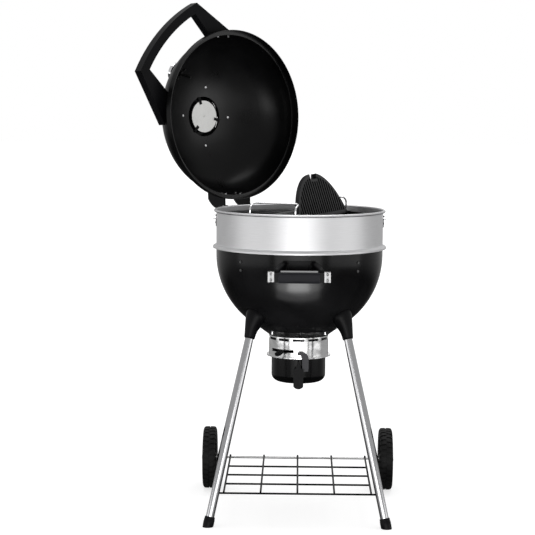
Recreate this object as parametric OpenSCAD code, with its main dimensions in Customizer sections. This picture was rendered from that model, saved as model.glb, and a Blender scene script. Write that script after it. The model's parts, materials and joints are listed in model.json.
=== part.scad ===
// Kettle charcoal grill on four splayed legs, drawn with its lid swung open.
// Millimetres, +Z up. The origin is on the floor, straight under the bowl's axis; the front is -Y.

/* [Bowl and ring] */
// Outside diameter of the steel cooking ring and of the bowl under it
ring_diameter = 567; // [540:1:600]
// Height of the ring's top edge above the floor
rim_height = 1032; // [1000:1:1080]
// Height of the steel cooking ring, lip to lip
ring_height = 131; // [110:1:150]
// Sheet thickness of bowl, ring, lid and vent collar
sheet = 1.8; // [1.2:0.1:2.4]

/* [Lid] */
// Direction of the lid hinge round the bowl, from +X
hinge_azimuth = 133; // [125:1:140]
// Distance of the hinge pin from the bowl's axis
hinge_reach = 324.3; // [322:0.1:332]
// Angle through which the lid is swung open
lid_open_angle = 92.8; // [0:0.1:94]
// Outside diameter of the lid's skirt
skirt_diameter = 596; // [594:1:604]
// Height of the dome above the skirt's step
dome_height = 165; // [150:1:180]
// Radius of the dome's shoulder
shoulder_radius = 115; // [90:1:120]
// Radius of the vent hole in the top of the lid
vent_hole_radius = 71.5; // [60:0.5:74]

/* [Cooking grate] */
// Outside diameter of the cast-iron grate
grate_diameter = 542; // [520:1:548]
// Depth of the grate below the rim
grate_drop = 18; // [14:1:24]
// Half the width of the fixed strip across the middle
strip_half_width = 74; // [70:0.2:92]
// Turn of the grate in the ring, clockwise from above
grate_turn = 21.2; // [0:0.2:45]
// Angle at which the right flap stands open
flap_open_angle = 108; // [0:1:108]
// Spacing of the grate's ribs
rib_pitch = 20.2; // [18:0.2:32]

/* [Legs, shelf and wheels] */
// Diameter of a leg tube
leg_diameter = 28; // [24:0.5:30]
// Distance of a front foot from the bowl's axis
foot_reach = 416.5; // [380:0.5:440]
// Wheel diameter
wheel_diameter = 222; // [200:1:240]
// Distance between the outer faces of the wheels
track = 680; // [670:1:700]
// Distance of the axle behind the bowl's axis
axle_back = 276.5; // [270:0.5:285]
// Diameter of the shelf's wire
shelf_wire = 6.5; // [5:0.1:7]

/* [Ash catcher] */
// Outside diameter of the slotted steel collar
collar_diameter = 203; // [198:1:206]
// Outside diameter of the ash pan
pan_diameter = 185; // [170:1:188]
// Number of air slots round the collar
slot_count = 12; // [8:1:14]

/* [Hidden] */
$fn = 96;

steel = "#c9c9cb";
chrome = "#dcdcde";
enamel = "#17171a";
plastic = "#1c1c1e";
iron = "#2a2a2c";
rubber_black = "#141414";

fit_gap = 0.3;      // air between parts of different bodies
running_gap = 0.05; // radial clearance round a turning pin
seat_gap = 0.2;     // a flat screw head stands this far off the curved sheet at its middle
far = 1000;         // longer than any cut needs

// ---- bowl and ring ----
ring_r = ring_diameter / 2;
ring_inner_r = ring_r - sheet;
bowl_r = ring_r;
bowl_centre_z = rim_height - 154;
ring_bottom_z = rim_height - ring_height;
bead_r = 4.8;
bead_lap = 1;       // the ring's wall runs this far up into its top bead
lip_reach = 11.5;
clip_azimuths = [47, 133, 227, 313];
clip_screw_z = [bowl_centre_z - 8, bowl_centre_z - 36];
clip_thickness = 2.5;
bracket_bolt_z = rim_height - 28.5;
bracket_leg = 3;

// ---- grate ----
grate_top = rim_height - grate_drop;
grate_r = grate_diameter / 2;
frame_depth = 18;
flap_depth = 14;
flap_gap = 2.5;
flap_half_chord = 232;
flap_sagitta = 153;
flap_arc_r = (flap_half_chord * flap_half_chord + flap_sagitta * flap_sagitta) / (2 * flap_sagitta);
flap_pin_r = 3;
flap_pin_inset = 4;
flap_pin_n = strip_half_width + flap_gap + flap_pin_inset;
flap_pin_z = grate_top - flap_pin_inset;
rib_width = 7.5;
rib_count = floor((grate_r - 20) / rib_pitch);
lift_wire = 6;
lift_half_width = 80;
lift_stand = 245;

// ---- legs ----
leg_r = leg_diameter / 2;
leg_wall = 1.5;
socket_z = 609;
socket_reach = 232.6;
axle_z = wheel_diameter / 2;
axle_r = 4;
back_pass_r = axle_back * sqrt(2);
front_lean = atan((foot_reach - socket_reach) / socket_z);
back_lean = atan((back_pass_r - socket_reach) / (socket_z - axle_z));
back_reach = back_pass_r + axle_z * tan(back_lean);
leg_top_z = 655;
shelf_z = 108;
shelf_front = (foot_reach - shelf_z * tan(front_lean)) / sqrt(2);
weld_depth = 0.3;
shelf_rise = shelf_wire - weld_depth;
cross_wires = 4;
cross_pitch = (axle_back + shelf_front) / cross_wires;
long_pitch = 121.5;
shelf_end = 262;
wheel_r = wheel_diameter / 2;
wheel_inner_x = 293.5;
wheel_outer_x = track / 2;
wheel_hub_r = 16;
tyre_inner_r = wheel_r - 25;

// ---- ash catcher ----
collar_r = collar_diameter / 2;
collar_top_z = 604;
collar_bottom_z = 531.5;
cone_r = 131;
cone_z = 624.5;
slot_z = 594;
lever_azimuth = -123;
lever_z = 556;
pan_r = pan_diameter / 2;
pan_bottom_z = 442;
pan_top_z = 541;
pan_corner = 25;
vent_width = 38;
blade_width = 40;
lever_close = 25;
lever_open = 20;
handle_y = -112;

// ---- lid, in its closed place: origin on the bowl's axis in the skirt's bottom plane ----
lid_z = rim_height - 20;
skirt_r = skirt_diameter / 2;
step_z = 20.5;
dome_base_z = 22;
dome_wall = 6;
dome_r = ring_r;
shoulder_x = dome_r - shoulder_radius;
shoulder_z = dome_base_z + dome_wall;
apex_z = dome_base_z + dome_height;
crown_rise = apex_z - shoulder_radius;
crown_z = ((crown_rise + shoulder_z) - shoulder_x * shoulder_x / (crown_rise - shoulder_z)) / 2;
crown_r = apex_z - crown_z;
crown_angle = atan2(shoulder_x, shoulder_z - crown_z);
crown_lap = 1;      // degrees that the shoulder's section runs on under the crown
hinge_pin_z = rim_height - 10;
hinge_pin_r = 4;
arm_g = 55.5;
arm_thickness = 5;
ear_g = 47.5;
ear_thickness = 5;
gauge_angle = 26.6;
gauge_r = 30;

// ---- placing helpers ----
module polar(az, r = 0, z = 0) {
    rotate([0, 0, az]) translate([r, 0, z]) children();
}

// A rod of radius r between two points
module rod(a, b, r) {
    d = b - a;
    length = norm(d);
    translate(a) rotate([0, acos(d.z / length), atan2(d.y, d.x)]) cylinder(r = r, h = length);
}

// The closed lid's frame
module lid_closed() {
    translate([0, 0, lid_z]) children();
}

// The lid's frame, swung open about the hinge pin
module lid() {
    pin = [hinge_reach * cos(hinge_azimuth), hinge_reach * sin(hinge_azimuth), hinge_pin_z];
    translate(pin)
        rotate(a = lid_open_angle, v = [-sin(hinge_azimuth), cos(hinge_azimuth), 0])
            translate(-pin) lid_closed() children();
}

// A place on the dome's shoulder: +X points out of the surface, which is at shoulder_radius
module on_shoulder(az, rise) {
    polar(az, shoulder_x, shoulder_z) rotate([0, -rise, 0]) children();
}

// A place on the dome's crown: +Z points out of the surface, which is at z = 0
module on_crown(az, angle) {
    polar(az) translate([0, 0, crown_z]) rotate([0, angle, 0]) translate([0, 0, crown_r]) children();
}

// The thermometer's frame, on the front of the dome
module gauge() {
    lid() on_crown(-90, gauge_angle) rotate([0, 0, 90]) children();
}

module grate_place() {
    rotate([0, 0, -grate_turn]) children();
}

// ---- shared profiles, radius along X and height along Y ----
// The bowl's outline filled in, shrunk by inset
module bowl_section(inset) {
    intersection() {
        union() {
            translate([0, bowl_centre_z]) circle(r = bowl_r - inset, $fn = 180);
            translate([0, bowl_centre_z]) square([bowl_r - inset, far]);
        }
        translate([0, 400]) square([2 * bowl_r, far]);
    }
}

// The dome's outline filled in, shrunk by inset: a flat crown, a round shoulder and a short wall
module dome_section(inset) {
    intersection() {
        union() {
            intersection() {
                translate([0, crown_z]) circle(r = crown_r - inset, $fn = 180);
                translate([0, crown_z])
                    polygon([[0, 0], [0, far], [far * tan(crown_angle), far]]);
            }
            intersection() {
                translate([shoulder_x, shoulder_z]) circle(r = shoulder_radius - inset, $fn = 180);
                translate([shoulder_x, shoulder_z])
                    polygon([[0, 0], [far * tan(crown_angle - crown_lap), far], [far, far], [far, 0]]);
            }
            translate([0, step_z - 1]) square([dome_r - inset, shoulder_z - step_z + 1]);
        }
        translate([0, step_z - 1]) square([far, far]);
    }
}

module dome_solid(inset = 0) {
    rotate_extrude($fn = 180) dome_section(inset);
}

module bowl_solid(inset = 0) {
    translate([0, 0, bowl_centre_z]) sphere(r = bowl_r - inset, $fn = 180);
}

// A screw or rivet lying along X with its head at the outer end
module radial_screw(surface_r, depth, shank_r, head_r, head_h) {
    translate([surface_r - depth, 0, 0]) rotate([0, 90, 0]) cylinder(r = shank_r, h = depth + 1, $fn = 24);
    translate([surface_r, 0, 0]) rotate([0, 90, 0]) cylinder(r = head_r, h = head_h, $fn = 32);
}

module radial_hole(outer_r, r, beyond = 40) {
    translate([outer_r - 40, 0, 0]) rotate([0, 90, 0]) cylinder(r = r, h = 40 + beyond, $fn = 24);
}

// ---- bowl and ring ----
module clip_screw_places() {
    for (az = clip_azimuths, z = clip_screw_z) polar(az, 0, z) children();
}

module vent_sector(inner, outer, width) {
    intersection() {
        difference() {
            circle(r = outer);
            circle(r = inner);
        }
        polygon([[0, 0], [far, -far * tan(width / 2)], [far, far * tan(width / 2)]]);
    }
}

module bowl() {
    color(enamel) difference() {
        rotate_extrude($fn = 180) {
            intersection() {
                difference() {
                    bowl_section(0);
                    bowl_section(sheet);
                }
                translate([0, 400]) square([bowl_r, ring_bottom_z + 4 - 400]);
            }
            translate([bowl_r + 3.8, ring_bottom_z + 3]) circle(r = 4.2, $fn = 48);
        }
        translate([0, 0, 580]) cylinder(r = 5 + running_gap, h = 40);
        for (i = [0:2]) polar(30 + 120 * i, 0, 580)
            linear_extrude(60) vent_sector(32, 88, vent_width);
        clip_screw_places() radial_hole(bowl_r, 2.5);
        for (az = [0:90:270]) polar(az + 45, 126, 600) cylinder(r = 2.5, h = 40, $fn = 24);
    }
}

module cooking_ring() {
    lip_r = ring_r + lip_reach;
    color(steel) difference() {
        rotate_extrude($fn = 180) {
            polygon([
                [ring_inner_r, rim_height - bead_r + bead_lap], [ring_r, rim_height - bead_r + bead_lap],
                [ring_r, ring_bottom_z + 13], [lip_r - 1.5, ring_bottom_z + 7],
                [lip_r, ring_bottom_z + 5], [lip_r, ring_bottom_z],
                [lip_r - sheet, ring_bottom_z], [lip_r - sheet, ring_bottom_z + 5.6],
                [ring_inner_r, ring_bottom_z + 12]
            ]);
            translate([ring_r + 8.5 - bead_r, rim_height - bead_r]) circle(r = bead_r, $fn = 48);
        }
        for (az = [0, 180]) polar(az, 0, bracket_bolt_z) radial_hole(ring_r, 3);
        hinge_screw_places() radial_hole(ring_r, 2.5);
    }
}

// Sheet lining a sector of the bowl and ring's inner wall
module wall_lining(az, width, low, high, thickness) {
    intersection() {
        rotate_extrude($fn = 180) intersection() {
            difference() {
                bowl_section(sheet);
                bowl_section(sheet + thickness);
            }
            translate([100, low]) square([bowl_r, high - low]);
        }
        polar(az) translate([0, -width / 2, low]) cube([far, width, high - low]);
    }
}

module ring_clips() {
    color(steel) difference() {
        for (az = clip_azimuths)
            wall_lining(az, 18, bowl_centre_z - 48, ring_bottom_z + 34, clip_thickness);
        clip_screw_places() radial_hole(bowl_r, 2.5);
    }
}

module ring_clip_screws() {
    head_r = 4.5;
    color(chrome) for (az = clip_azimuths, z = clip_screw_z) {
        drop = bowl_centre_z - z - head_r;
        surface = sqrt(bowl_r * bowl_r - drop * drop);
        polar(az, 0, z) radial_screw(surface, 9, 2.5, head_r, 2.6);
    }
}

module grate_brackets() {
    shelf_top = grate_top - frame_depth - fit_gap;
    color(steel) difference() {
        for (az = [0:90:270]) {
            wall_lining(az, 24, shelf_top - 24, shelf_top + 14, bracket_leg);
            polar(az) translate([ring_inner_r - 26, -12, shelf_top - 2.5])
                cube([24.5, 24, 2.5]);
        }
        for (az = [0, 180]) polar(az, 0, bracket_bolt_z) radial_hole(ring_r, 3);
    }
}

module grate_bracket_plates() {
    color(plastic) for (az = [0, 180]) polar(az) difference() {
        union() {
            translate([ring_r + 0.1, -8, bracket_bolt_z - 32]) cube([2.4, 16, 40]);
            translate([ring_r + 2, 0, bracket_bolt_z - 19]) rotate([0, 90, 0])
                cylinder(r = 3, h = 2.2, $fn = 24);
        }
        translate([0, 0, bracket_bolt_z]) radial_hole(ring_r, 3);
    }
}

module grate_bracket_bolts() {
    nut_x = ring_inner_r - bracket_leg;
    color(chrome) for (az = [0, 180]) polar(az, 0, bracket_bolt_z) {
        translate([nut_x - 4, 0, 0]) rotate([0, 90, 0]) cylinder(r = 3, h = ring_r + 2.5 - nut_x + 4, $fn = 24);
        translate([ring_r + 2.5, 0, 0]) rotate([0, 90, 0]) cylinder(r = 6.5, h = 9, $fn = 6);
        translate([nut_x - 4, 0, 0]) rotate([0, 90, 0]) cylinder(r = 5.5, h = 3.9, $fn = 6);
    }
}

// ---- legs, feet, axle, wheels and shelf ----
// A leg's frame: origin where its axis meets the floor, +Z up along the leg, which leans inward
module leg_frame(az, reach, lean) {
    polar(az, reach) rotate([0, -lean, 0]) children();
}

module leg_tube(az, reach, lean, from_z) {
    low = from_z / cos(lean);
    color(chrome) difference() {
        leg_frame(az, reach, lean) translate([0, 0, low]) difference() {
            cylinder(r = leg_r, h = leg_top_z / cos(lean) - low, $fn = 64);
            translate([0, 0, -1]) cylinder(r = leg_r - leg_wall, h = far, $fn = 64);
        }
        translate([-shelf_end, -shelf_front, shelf_z]) rotate([0, 90, 0])
            cylinder(r = shelf_wire / 2, h = 2 * shelf_end, $fn = 32);
        translate([-far / 2, axle_back, axle_z]) rotate([0, 90, 0]) cylinder(r = axle_r, h = far, $fn = 32);
    }
}

module leg_front_left() { leg_tube(225, foot_reach, front_lean, 10); }
module leg_front_right() { leg_tube(315, foot_reach, front_lean, 10); }
module leg_back_left() { leg_tube(135, back_reach, back_lean, axle_z - 18); }
module leg_back_right() { leg_tube(45, back_reach, back_lean, axle_z - 18); }

// A black socket flaring from the leg up to its seat on the bowl
module leg_socket(az, reach, lean) {
    seat_angle = 46;
    color(plastic) difference() {
        hull() {
            leg_frame(az, reach, lean) translate([0, 0, socket_z / cos(lean)])
                cylinder(r = leg_r + 3, h = 6, $fn = 32);
            polar(az, 0, bowl_centre_z) rotate([0, 180 - seat_angle, 0])
                translate([0, 0, bowl_r - 4]) cylinder(r = 36, h = 7, $fn = 32);
        }
        bowl_solid();
        leg_frame(az, reach, lean) translate([0, 0, 400])
            cylinder(r = leg_r, h = leg_top_z / cos(lean) - 400, $fn = 64);
    }
}

module leg_socket_front_left() { leg_socket(225, foot_reach, front_lean); }
module leg_socket_front_right() { leg_socket(315, foot_reach, front_lean); }
module leg_socket_back_left() { leg_socket(135, back_reach, back_lean); }
module leg_socket_back_right() { leg_socket(45, back_reach, back_lean); }

module foot_cap(az) {
    color(plastic) difference() {
        leg_frame(az, foot_reach, front_lean) difference() {
            translate([0, 0, -10]) cylinder(r = leg_r + 4, h = 44, $fn = 64);
            translate([0, 0, 10 / cos(front_lean)]) cylinder(r = leg_r, h = far, $fn = 64);
        }
        translate([-far, -far, -far]) cube([2 * far, 2 * far, far]);
    }
}

module foot_cap_left() { foot_cap(225); }
module foot_cap_right() { foot_cap(315); }

module axle() {
    color(steel) translate([0, axle_back, axle_z]) rotate([0, 90, 0]) {
        translate([0, 0, -wheel_outer_x - 4]) cylinder(r = axle_r, h = 2 * wheel_outer_x + 8, $fn = 48);
        for (side = [-1, 1]) translate([0, 0, side * (wheel_outer_x + 4) - 2])
            cylinder(r = axle_r + 3.5, h = 4, $fn = 48);
    }
}

module wheel_place(side) {
    translate([0, axle_back, axle_z]) rotate([0, side * 90, 0]) children();
}

// Spoked plastic wheel between two distances from the middle plane
module wheel(side) {
    color(plastic) wheel_place(side) difference() {
        rotate_extrude($fn = 120) polygon([
            [axle_r + running_gap, wheel_inner_x + 1], [wheel_hub_r, wheel_inner_x + 1],
            [wheel_hub_r + 2, wheel_inner_x + 18], [tyre_inner_r - 6, wheel_inner_x + 20],
            [tyre_inner_r - 4, wheel_inner_x + 3], [tyre_inner_r, wheel_inner_x + 3],
            [tyre_inner_r, wheel_outer_x - 4], [tyre_inner_r - 4, wheel_outer_x - 4],
            [tyre_inner_r - 6, wheel_outer_x - 18], [wheel_hub_r + 2, wheel_outer_x - 14],
            [wheel_hub_r, wheel_outer_x - 1], [axle_r + running_gap, wheel_outer_x - 1]
        ]);
        for (i = [0:5]) rotate([0, 0, 60 * i]) translate([48, 0, wheel_inner_x])
            cylinder(r = 15, h = 60, $fn = 48);
    }
}

module tyre(side) {
    low = wheel_inner_x;
    high = wheel_outer_x;
    color(rubber_black) wheel_place(side) rotate_extrude($fn = 120) polygon([
        [tyre_inner_r, low + 3], [wheel_r - 12, low], [wheel_r - 3, low + 3], [wheel_r, low + 9],
        [wheel_r, high - 9], [wheel_r - 3, high - 3], [wheel_r - 12, high], [tyre_inner_r, high - 4]
    ]);
}

module wheel_left() { wheel(-1); }
module wheel_right() { wheel(1); }
module tyre_left() { tyre(-1); }
module tyre_right() { tyre(1); }

module shelf_rack() {
    wire_r = shelf_wire / 2;
    hook_r = axle_r + wire_r + 0.15;
    long_z = shelf_z + shelf_rise;
    meet = asin((long_z - axle_z) / hook_r);
    outer_x = 2 * long_pitch;
    color(iron) {
        rod([-shelf_end, -shelf_front, shelf_z], [shelf_end, -shelf_front, shelf_z], wire_r);
        for (i = [1:cross_wires - 1]) {
            y = -shelf_front + i * cross_pitch;
            rod([-outer_x - 4, y, shelf_z], [outer_x + 4, y, shelf_z], wire_r);
        }
        for (i = [-2:2]) {
            x = i * long_pitch;
            rod([x, -shelf_front - 4, long_z], [x, axle_back - hook_r * cos(meet), long_z], wire_r);
            translate([x, axle_back, axle_z]) rotate([0, 90, 0]) rotate([0, 0, 60])
                rotate_extrude(angle = 210 - meet, $fn = 64) translate([hook_r, 0]) circle(r = wire_r, $fn = 32);
        }
    }
}

// ---- charcoal grate ----
charcoal_z = 703.5;
charcoal_r = 208;

module charcoal_grate() {
    wire_r = 3;
    ring_wire_r = 3.5;
    overhang = 2;
    color(steel) {
        translate([0, 0, charcoal_z]) rotate_extrude($fn = 120)
            translate([charcoal_r, 0]) circle(r = ring_wire_r, $fn = 32);
        for (i = [-8:8]) {
            y = i * 23;
            half = sqrt(charcoal_r * charcoal_r - y * y) + overhang;
            translate([-half, y, charcoal_z + 5.5]) rotate([0, 90, 0]) cylinder(r = wire_r, h = 2 * half, $fn = 32);
        }
        for (x = [-90, 90]) {
            half = sqrt(charcoal_r * charcoal_r - x * x);
            translate([x, -half, charcoal_z]) rotate([-90, 0, 0]) cylinder(r = wire_r, h = 2 * half, $fn = 32);
        }
    }
}

module charcoal_grate_supports() {
    tab_top = charcoal_z - 3.5 - fit_gap;
    color(steel) intersection() {
        for (az = [45:90:315]) polar(az) translate([charcoal_r - 8, -10, tab_top - 3]) cube([60, 20, 3]);
        bowl_solid(sheet);
    }
}

// ---- front handle of the bowl ----
grip_y = -352;
grip_z = 834.5;
grip_half = 66;

module front_handle_shield() {
    color(plastic) intersection() {
        rotate_extrude($fn = 180) intersection() {
            difference() {
                bowl_section(-4);
                bowl_section(0);
            }
            translate([100, 838]) square([bowl_r, 44]);
        }
        translate([-54, -far, 0]) cube([108, far, far]);
    }
}

module front_handle_arms() {
    color(plastic) difference() {
        for (side = [-1, 1]) {
            hull() {
                translate([side * 48, -284, 862]) sphere(r = 9, $fn = 24);
                translate([side * 48, -276, 851]) sphere(r = 9, $fn = 24);
                translate([side * 73.5, grip_y + 2, grip_z + 6]) cube([14, 20, 20], center = true);
            }
            translate([side * (grip_half + 7.4), grip_y, grip_z + 1]) cube([14.8, 28, 33], center = true);
        }
        translate([0, grip_y, grip_z]) cube([2 * grip_half, 29, 46], center = true);
        rotate_extrude($fn = 180) bowl_section(-4);
    }
}

module front_handle_grip() {
    color("#3c3c40") translate([-grip_half, grip_y, grip_z]) rotate([0, 90, 0]) linear_extrude(2 * grip_half)
        union() {
            square([18, 28], center = true);
            for (end = [-1, 1]) translate([end * 8, 0]) intersection() {
                circle(r = 14, $fn = 64);
                translate([end * 7.5, 0]) square([15, 28], center = true);
            }
        }
}

module front_handle_caps() {
    color(steel) for (side = [-1, 1])
        translate([side * (grip_half + 24.9), grip_y + 2, grip_z + 3]) difference() {
            cube([20, 30, 33], center = true);
            translate([side * -4, 10, -10]) cube([8, 30, 14], center = true);
        }
}

// ---- vent collar, sweeper and ash pan ----
module vent_collar() {
    inner = collar_r - sheet;
    flange = collar_r + 8;
    color(steel) difference() {
        rotate_extrude($fn = 144) polygon([
            [cone_r, cone_z], [collar_r + 1, collar_top_z], [collar_r, collar_top_z - 2],
            [collar_r, collar_bottom_z + 4], [flange, collar_bottom_z + 4], [flange, collar_bottom_z],
            [inner, collar_bottom_z], [inner, collar_top_z], [cone_r - 2, cone_z + 0.6]
        ]);
        for (i = [0:slot_count - 1]) polar(-90 + 360 * i / slot_count, collar_r - 12, slot_z) {
            translate([0, -16, -4.2]) cube([24, 32, 8.4]);
            for (end = [-16, 16]) translate([0, end, 0]) rotate([0, 90, 0]) cylinder(r = 4.2, h = 24, $fn = 32);
        }
        translate([0, 0, lever_z - 5]) linear_extrude(10)
            rotate([0, 0, lever_azimuth + (lever_open - lever_close) / 2])
                vent_sector(collar_r - 12, collar_r + 12, lever_open + lever_close + 7);
        for (az = [0:90:270]) polar(az + 45, 126, 600) cylinder(r = 2.5, h = 40, $fn = 24);
    }
}

module vent_collar_rivets() {
    color(chrome) for (az = [0:90:270]) polar(az + 45, 126) {
        translate([0, 0, 615.5]) cylinder(r = 2.5, h = 14, $fn = 24);
        translate([0, 0, 614]) cylinder(r = 4.5, h = 2, $fn = 24);
    }
}

module sweeper_blades() {
    outer = sheet + fit_gap;
    color(steel) difference() {
        intersection() {
            difference() {
                bowl_solid(outer);
                bowl_solid(outer + 2);
            }
            translate([0, 0, 580]) linear_extrude(80) {
                circle(r = 26);
                for (i = [0:2]) rotate([0, 0, 30 + lever_close + 120 * i]) vent_sector(20, 93, blade_width);
            }
        }
        translate([0, 0, 580]) cylinder(r = 5, h = 60);
    }
}

module sweeper_shaft() {
    color(steel) {
        translate([0, 0, lever_z - 8]) cylinder(r = 5, h = 602 - lever_z + 8);
        translate([0, 0, 598.9]) cylinder(r = 11, h = 5);
    }
}

module sweeper_lever() {
    color(plastic) polar(lever_azimuth) difference() {
        union() {
            translate([0, 0, lever_z - 3]) cylinder(r = 12, h = 6);
            translate([0, -4, lever_z - 2]) cube([collar_r + 14, 8, 4]);
            translate([collar_r + 8, 0, lever_z]) rotate([0, 24, 0]) linear_extrude(4, center = true) union() {
                translate([0, -13]) square([16, 26]);
                translate([16, 0]) circle(r = 13, $fn = 48);
            }
        }
        translate([0, 0, lever_z - 10]) cylinder(r = 5, h = 20);
    }
}

module ash_pan() {
    wall = 1.6;
    color(enamel) rotate_extrude($fn = 144) difference() {
        union() {
            translate([0, pan_bottom_z]) square([pan_r - pan_corner, pan_top_z - pan_bottom_z]);
            translate([0, pan_bottom_z + pan_corner]) square([pan_r, pan_top_z - pan_bottom_z - pan_corner]);
            translate([pan_r - pan_corner, pan_bottom_z + pan_corner]) circle(r = pan_corner, $fn = 64);
            translate([0, pan_top_z - 3]) square([pan_r + 3, 3]);
        }
        translate([0, pan_bottom_z + wall]) square([pan_r - pan_corner, far]);
        translate([0, pan_bottom_z + pan_corner]) square([pan_r - wall, far]);
        intersection() {
            translate([pan_r - pan_corner, pan_bottom_z + pan_corner]) circle(r = pan_corner - wall, $fn = 64);
            translate([0, pan_bottom_z]) square([pan_r, pan_corner]);
        }
        translate([-far, 0]) square([far, far]);
    }
}

// Hook over the collar's edge, strap and hanging grip, drawn in the XZ plane
module ash_pan_handle() {
    color(plastic) difference() {
        union() {
            translate([0, handle_y, 0]) rotate([90, 0, 0]) linear_extrude(6) union() {
                intersection() {
                    translate([12.5, 534.5]) circle(r = 21.5, $fn = 64);
                    translate([12.5, 534.5]) square([30, 30]);
                }
                translate([12.5, 500]) square([21.5, 35]);
                translate([-1, 548]) square([14, 8]);
                translate([-1, 549]) circle(r = 3, $fn = 24);
                translate([0, 490]) square([34, 14]);
            }
            translate([0, handle_y, 0]) rotate([90, 0, 0]) linear_extrude(15) union() {
                polygon([[-16.8, 500], [-9, 502], [-1, 527], [1, 527], [9, 502], [16.8, 500],
                    [16.8, 452], [-16.8, 452]]);
                intersection() {
                    translate([0, 452]) circle(r = 20, $fn = 64);
                    translate([-16.8, 425]) square([33.6, 27]);
                }
            }
            translate([-12, handle_y - 2, 462]) cube([24, 40, 30]);
        }
        translate([0, 0, pan_bottom_z]) cylinder(r = pan_r, h = 200, $fn = 144);
    }
}

// ---- cooking grate ----
// A flap's outline in grate coordinates, grown by margin; X runs away from the strip
module flap_outline(margin = 0) {
    near = strip_half_width + flap_gap;
    intersection() {
        translate([near + flap_sagitta - flap_arc_r, 0]) circle(r = flap_arc_r + margin, $fn = 180);
        translate([near - margin, -far / 2]) square([far, far]);
    }
}

module grate_frame() {
    seat = 4;
    flap_swing = 30; // room beside each hinge pin for the flap's edge as it tips up
    ledge_z = grate_top - frame_depth;
    color(iron) grate_place() difference() {
        translate([0, 0, ledge_z]) cylinder(r = grate_r, h = frame_depth, $fn = 180);
        for (side = [0, 180]) rotate([0, 0, side]) {
            translate([0, 0, ledge_z + frame_depth - flap_depth - 0.5]) linear_extrude(far)
                flap_outline(1.5);
            translate([0, 0, ledge_z - 1]) linear_extrude(far) intersection() {
                flap_outline(-seat);
                translate([strip_half_width + fit_gap, -far / 2]) square([far, far]);
            }
            translate([strip_half_width + fit_gap, -flap_half_chord - 1.5, ledge_z + 2])
                cube([flap_swing, 2 * flap_half_chord + 3, far]);
            translate([flap_pin_n, -flap_half_chord - 6, flap_pin_z]) rotate([-90, 0, 0])
                cylinder(r = flap_pin_r + running_gap, h = 2 * flap_half_chord + 12, $fn = 32);
        }
        for (i = [-rib_count:rib_count]) translate([0, i * rib_pitch, 0])
            translate([-strip_half_width + 10, -rib_pitch / 2 + rib_width / 2, ledge_z - 1])
                cube([2 * strip_half_width - 20, rib_pitch - rib_width, far]);
        for (side = [-1, 1]) for (end = [-1, 1])
            translate([side * lift_half_width, end * lift_stand, ledge_z - 1])
                cylinder(r = lift_wire / 2, h = far, $fn = 32);
    }
}

// A flap lying closed, its hinge pins along Y at flap_pin_n
module flap_closed() {
    low = grate_top - flap_depth;
    rim_width = 12;
    near = strip_half_width + flap_gap;
    tip = near + flap_sagitta;
    notch_depth = 17;
    tab_thickness = 5;
    difference() {
        union() {
            difference() {
                translate([0, 0, low]) linear_extrude(flap_depth) flap_outline();
                difference() {
                    translate([0, 0, low - 1]) linear_extrude(far) intersection() {
                        flap_outline(-rim_width);
                        translate([near + rim_width, -far / 2]) square([far, far]);
                    }
                    for (i = [-rib_count:rib_count + 1])
                        translate([near, (i - 0.5) * rib_pitch - rib_width / 2, low - 2]) cube([far, rib_width, far]);
                    for (u = [50, 96]) translate([near + u, -far / 2, low + 4]) cube([5, far, 5]);
                    translate([tip - notch_depth - 12, -35, low - 2]) cube([far, 70, far]);
                }
            }
            translate([flap_pin_n, -flap_half_chord - 4, flap_pin_z]) rotate([-90, 0, 0])
                cylinder(r = flap_pin_r, h = 2 * flap_half_chord + 8, $fn = 32);
        }
        translate([tip - notch_depth, 0, low - 1]) linear_extrude(far)
            polygon([[0, -9], [0, 9], [notch_depth + 3, 24], [notch_depth + 3, -24]]);
        translate([tip - notch_depth - 3, -29, low - 1]) cube([far, 58, flap_depth - tab_thickness + 1]);
    }
}

module flap_at(angle) {
    translate([flap_pin_n, 0, flap_pin_z]) rotate([0, -angle, 0])
        translate([-flap_pin_n, 0, -flap_pin_z]) flap_closed();
}

module grate_flap_right() { color(iron) grate_place() flap_at(flap_open_angle); }
module grate_flap_left() { color(iron) grate_place() rotate([0, 0, 180]) flap_at(0); }

module lift_loop() {
    low = grate_top - frame_depth + 4;
    bend_z = grate_top + 36;
    top_z = grate_top + 49.5;
    inward = 28;
    wire_r = lift_wire / 2;
    knuckle_r = wire_r + 0.2;
    for (side = [-1, 1]) {
        x = side * lift_half_width;
        rod([x, -lift_stand, low], [x, -lift_stand, bend_z], wire_r);
        translate([x, -lift_stand, bend_z]) sphere(r = knuckle_r, $fn = 32);
        rod([x, -lift_stand, bend_z], [x, -lift_stand + inward, top_z], wire_r);
        translate([x, -lift_stand + inward, top_z]) sphere(r = knuckle_r, $fn = 32);
    }
    rod([-lift_half_width, -lift_stand + inward, top_z],
        [lift_half_width, -lift_stand + inward, top_z], wire_r);
}

module grate_lift_handles() {
    color(chrome) grate_place() for (turn = [0, 180]) rotate([0, 0, turn]) lift_loop();
}

// ---- hinge ----
module hinge_screw_places() {
    for (turn = [-6, 6]) polar(hinge_azimuth + turn, 0, rim_height - 44) children();
    for (turn = [-6, 6]) polar(hinge_azimuth + turn, 0, rim_height - 66) children();
}

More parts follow.
